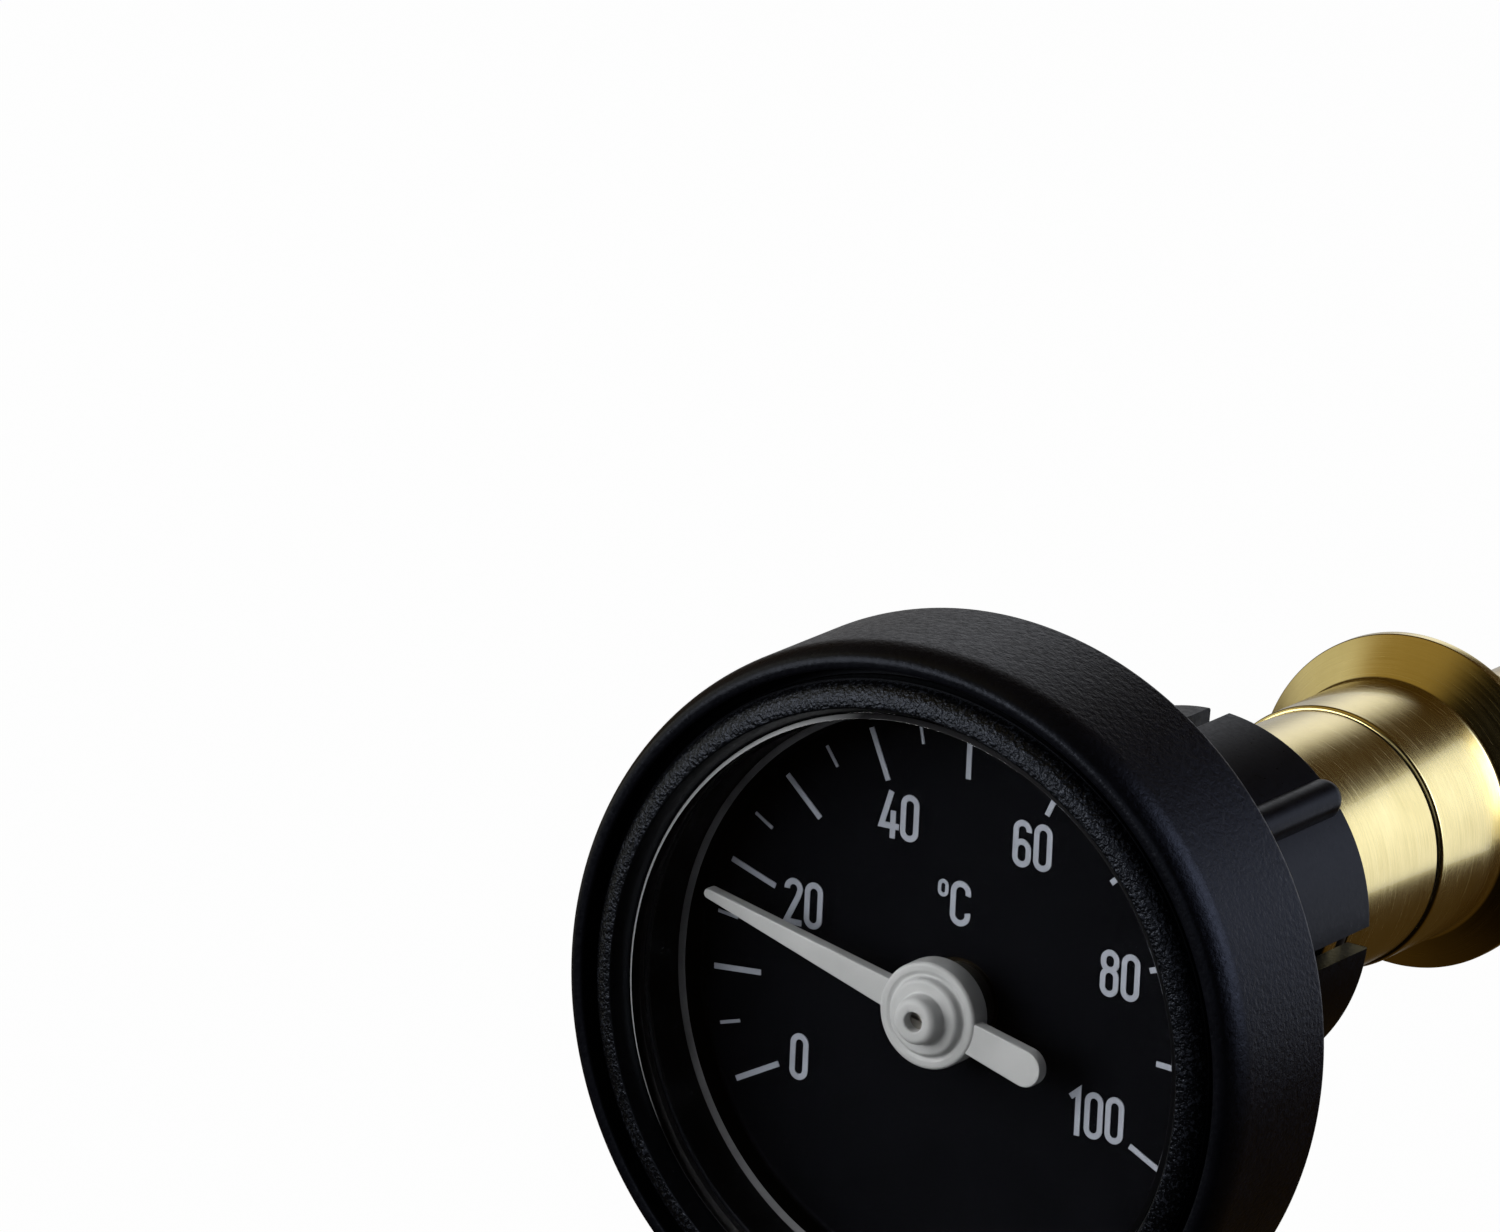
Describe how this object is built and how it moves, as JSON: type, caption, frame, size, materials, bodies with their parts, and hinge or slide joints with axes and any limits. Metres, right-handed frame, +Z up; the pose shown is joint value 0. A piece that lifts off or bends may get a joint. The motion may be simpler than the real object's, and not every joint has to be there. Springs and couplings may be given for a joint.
{
  "type": "dial thermometer",
  "caption": "Round black dial thermometer on a slotted clip collar that plugs into a threaded brass immersion sleeve; the head swivels and a bimetal coil turns the white pointer.",
  "frame": {"origin": "on the instrument's axis, in the plane where the sealing washer meets the pipe boss", "axes": "+Y along the axis into the pipe, so the dial looks along -Y; +Z is up on the dial; X is to the right seen from the front"},
  "size_m": [0.051, 0.1092, 0.0508],
  "materials": {
    "case_black": "moulded, fine matte grain",
    "bezel_grain": "spark-eroded grain",
    "lens_clear": "clear",
    "seal_rubber": "smooth",
    "dial_black": "matte black print on aluminium",
    "scale_ink": "printed",
    "pointer_white": "satin moulded",
    "steel": "turned",
    "brass": "turned",
    "bronze": "sintered",
    "coil_strip": "rolled strip",
    "collar_black": "satin moulded",
    "sleeve_brass": "lathe turned, satin",
    "washer_fibre": "pressed fibre"
  },
  "bodies": {
    "sleeve": {"sleeve_neck": "sleeve_brass", "neck_oring": "seal_rubber", "sleeve_base": "sleeve_brass", "pocket_tube": "sleeve_brass", "sealing_washer": "washer_fibre"},
    "collar": {"clip_collar": "collar_black", "plug_bush": "collar_black", "spigot_oring": "seal_rubber"},
    "head": {"case": "case_black", "bezel_ring": "bezel_grain", "lens": "lens_clear", "lens_gasket": "seal_rubber", "dial": "dial_black", "dial_scale": "scale_ink", "front_bush": "steel", "stem_fitting": "brass", "stem_nut": "brass", "nut_washer": "steel", "stem_tube": "brass", "guide_bush": "bronze", "bimetal_coil": "coil_strip", "tip_plug": "brass"},
    "movement": {"pointer": "pointer_white", "spindle": "steel", "spindle_collar": "steel", "coil_arbor": "steel"}
  },
  "joints": [
    {"name": "plug_pull", "type": "slide", "parent": "sleeve", "child": "collar", "axis": [0, -1, 0], "range_m": [0, 0.07]},
    {"name": "head_swivel", "type": "hinge", "parent": "collar", "child": "head", "pos_m": [0, -0.051, 0], "axis": [0, 1, 0], "continuous": true},
    {"name": "pointer_turn", "type": "hinge", "parent": "head", "child": "movement", "pos_m": [0, -0.06, 0], "axis": [0, 1, 0], "range_deg": [-43.2, 191.8], "stiffness_Nm_per_rad": 0.001, "deforming": ["bimetal_coil"]}
  ]
}
